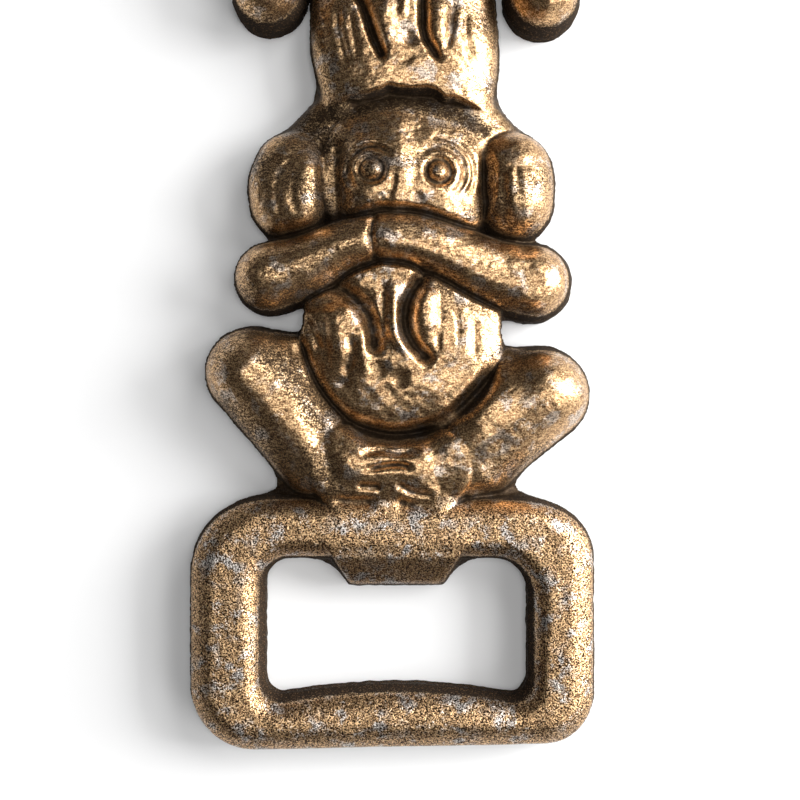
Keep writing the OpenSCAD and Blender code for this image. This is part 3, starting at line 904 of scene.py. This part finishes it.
UMBER = (0.012, 0.008, 0.0055, 1)
BROWN = (0.072, 0.039, 0.021, 1)
BRONZE = (0.33, 0.185, 0.09, 1)
GOLD = (0.86, 0.58, 0.31, 1)
DARK_GREY = (0.03, 0.028, 0.027, 1)
IRON_GREY = (0.78, 0.75, 0.72, 1)
MATT_WALL = (0.022, 0.015, 0.010, 1)


# Features of each noise per millimetre
GRAIN, FINE_GRAIN, STREAKS, BLOTCHES, SMEARS = 4.6, 7.5, 2.2, 0.30, 0.45
STREAK_ANGLE = math.radians(-52)
DARKEST = 0.95         # most that the ground covers the gold in a hollow
BUMP_HEIGHT = 0.0003


def speckle(n, mm, sand):
    """The paint's grain, in two layers: plain on the ring, and streaked on the figures."""
    grain = n.noise(mm, GRAIN, 2.0, 0.65)
    fine = n.noise(mm, FINE_GRAIN, 1.0, 0.5)
    streak_place = n.add("ShaderNodeMapping", Vector=mm)
    streak_place.inputs["Rotation"].default_value = (0, 0, STREAK_ANGLE)
    streak_place.inputs["Scale"].default_value = (0.5, 1.8, 1.0)
    streak = n.noise(streak_place.outputs[0], STREAKS, 4.0, 0.7)

    speck = n.math("ADD", n.math("MULTIPLY", grain, 0.62), n.math("MULTIPLY", fine, 0.38))
    mottle = n.math("ADD", n.math("MULTIPLY", speck, 0.65), n.math("MULTIPLY", streak, 0.35))
    mottle = n.math("MULTIPLY_ADD", mottle, 0.65, 0.19)
    level = n.add("ShaderNodeMix")
    n.plug(level, "i0", sand)
    n.plug(level, "i2", mottle)
    n.plug(level, "i3", n.math("SUBTRACT", speck, 0.009))
    return fine, level.outputs[0]


def rubbed_gold(n, mm, sand, level):
    """Brown, bronze and gold by the grain's level, and grey iron in ragged patches."""
    warm = n.mix(n.remap(level, 0.42, 0.50), BROWN, BRONZE)
    warm = n.mix(n.remap(level, 0.49, 0.57), warm, GOLD)
    cold = n.mix(n.remap(level, 0.44, 0.56), DARK_GREY, IRON_GREY)
    ragged = n.math("ADD", n.noise(mm, SMEARS, 3.0, 0.6), n.math("MULTIPLY", level, 0.8))
    patches = n.remap(n.noise(mm, BLOTCHES, 3.0, 0.6), 0.60, 0.42, 0.25, 1.0)
    silver = n.math("MULTIPLY", n.remap(ragged, 0.94, 1.04), patches)
    silver = n.math("MULTIPLY", silver, n.remap(sand, 0.0, 1.0, 0.6, 1.0))
    return n.mix(n.math("MULTIPLY", silver, 0.85), warm, cold)


def dark_ground(n, mm, sand, level):
    """How far the dark ground shows: in pits, creases and hollows, low down, where it is unrubbed, and where
    shade is painted on the sides turned away from the light and on the lip.
    """
    pits = n.math("MULTIPLY", n.remap(level, 0.49, 0.43), n.remap(sand, 0.0, 1.0, 0.3, DARKEST))
    creases = n.remap(n.attribute("crease"), 0.1, 0.8, 0.0, DARKEST)
    hollows_and_lip_shade = n.remap(n.attribute("hollow_and_lip_shade"), 0.1, 0.85, 0.0, DARKEST)
    low = n.remap(n.add("ShaderNodeSeparateXYZ", Vector=mm).outputs["Z"], 4.2, 2.4, 0.0, 0.9)
    # painted shade: the sides turned away from the light are darkened here, besides the unrubbed grain
    unrubbed_and_painted_shade = n.math("MULTIPLY_ADD", n.math("SUBTRACT", level, 0.5), -5.0, n.attribute("patina_and_painted_shade"))
    dark = pits
    for layer in (creases, hollows_and_lip_shade, low, n.remap(unrubbed_and_painted_shade, 0.1, 0.85, 0, 0.92)):
        dark = n.math("MAXIMUM", dark, layer)
    return dark


def bronze_paint():
    """Gold over a dark ground, with painted shade on the sides turned away from the light, and matt walls
    that were never rubbed.
    """
    material = bpy.data.materials.new("antique_bronze")
    material.use_nodes = True
    n = Nodes(material.node_tree)
    per_mm = n.add("ShaderNodeVectorMath", {"operation": "SCALE"})
    n.plug(per_mm, "i0", n.add("ShaderNodeTexCoord").outputs["Object"])
    n.plug(per_mm, "Scale", 1 / MM)
    mm, sand = per_mm.outputs[0], n.attribute("sand")

    fine, level = speckle(n, mm, sand)
    dark = dark_ground(n, mm, sand, level)
    colour = n.mix(dark, rubbed_gold(n, mm, sand, level), UMBER)
    steepness = n.math("MULTIPLY", n.attribute("steep"), n.remap(sand, 0.0, 1.0, 1.1, 1.0))
    wall = n.remap(n.math("MULTIPLY_ADD", n.math("SUBTRACT", level, 0.5), -7.0, steepness), 2.2, 4.0)
    colour = n.mix(wall, colour, n.mix(n.remap(level, 0.53, 0.62, 0.0, 0.5), MATT_WALL, BRONZE))

    roughness = n.remap(fine, 0.3, 0.7, 0.27, 0.38)
    roughness = n.math("ADD", roughness, n.math("MULTIPLY", dark, 0.12))
    roughness = n.math("ADD", roughness, n.math("MULTIPLY", wall, 0.5))
    metallic = n.math("MULTIPLY", n.remap(dark, 0.2, 1.0, 1.0, 0.5), n.remap(wall, 0.0, 1.0, 1.0, 0.0))

    bump = n.add("ShaderNodeBump")
    n.plug(bump, "Strength", 1.0)
    n.plug(bump, "Distance", BUMP_HEIGHT)
    n.plug(bump, "Height", n.math("MULTIPLY", level, n.remap(sand, 0.0, 1.0, 0.22, 0.42)))

    shader = n.add("ShaderNodeBsdfPrincipled")
    for name, value in (("Base Color", colour), ("Metallic", metallic), ("Roughness", roughness),
                        ("Specular IOR Level", 0.05), ("Normal", bump.outputs[0])):
        n.plug(shader, name, value)
    n.add("ShaderNodeOutputMaterial", Surface=shader.outputs[0])
    return material


bronze = bronze_paint()
for index in range(len(node_names)):
    build_piece(index)

# ---------------------------------------------------------------------------
# Floor, light and camera
# ---------------------------------------------------------------------------


FLOOR_HALF = 1.2
FLOOR_GAP = 0.02 * MM      # keeps the floor from sharing a plane with the opener's back
LIGHT_DISTANCE = 0.6
LIGHT_SIZE = 0.35
SENSOR = 36
WORLD_LIGHT = 0.06


def plain_floor():
    """A sheet of white paper."""
    mesh = bpy.data.meshes.new("floor")
    half = FLOOR_HALF
    mesh.from_pydata([(-half, -half, 0), (half, -half, 0), (half, half, 0), (-half, half, 0)], [],
                     [(0, 1, 2, 3)])
    floor = bpy.data.objects.new("floor", mesh)
    floor.location.z = -FLOOR_GAP
    bpy.context.collection.objects.link(floor)
    material = bpy.data.materials.new("white_paper")
    material.use_nodes = True
    shader = material.node_tree.nodes["Principled BSDF"]
    shader.inputs["Base Color"].default_value = (0.93, 0.93, 0.93, 1)
    shader.inputs["Roughness"].default_value = 0.9
    mesh.materials.append(material)


def softbox(name, bearing, elevation, power):
    """A square softbox aimed at the opener. Its bearing is counted from the right, anticlockwise."""
    light = bpy.data.lights.new(name, "AREA")
    light.size = LIGHT_SIZE
    light.energy = power
    lamp = bpy.data.objects.new(name, light)
    bpy.context.collection.objects.link(lamp)
    bearing, elevation = math.radians(bearing), math.radians(elevation)
    away = Vector((math.cos(elevation) * math.cos(bearing), math.cos(elevation) * math.sin(bearing),
                   math.sin(elevation)))
    lamp.location = Vector((0, VIEW_CENTRE[1] * MM, 0)) + away * LIGHT_DISTANCE
    lamp.rotation_euler = (-away).to_track_quat("-Z", "Y").to_euler()


def camera():
    """Looks straight down on the lower half of the opener."""
    data = bpy.data.cameras.new("camera")
    data.sensor_width = SENSOR
    data.lens = SENSOR * (VIEW_HEIGHT - 1) / VIEW_WIDTH
    data.clip_start = 0.005
    cam = bpy.data.objects.new("camera", data)
    cam.location = (VIEW_CENTRE[0] * MM, VIEW_CENTRE[1] * MM, VIEW_HEIGHT * MM)
    bpy.context.collection.objects.link(cam)
    bpy.context.scene.camera = cam


plain_floor()
softbox("key", bearing=10, elevation=19, power=6.7)
softbox("upper_right", bearing=42, elevation=35, power=1.7)
softbox("lower_right", bearing=-30, elevation=35, power=1.5)
softbox("overhead", bearing=0, elevation=89, power=1.2)
camera()

world = bpy.data.worlds.new("studio")
bpy.context.scene.world = world
world.use_nodes = True
world.node_tree.nodes["Background"].inputs["Color"].default_value = (1, 1, 1, 1)
world.node_tree.nodes["Background"].inputs["Strength"].default_value = WORLD_LIGHT
bpy.context.scene.view_settings.view_transform = "Standard"
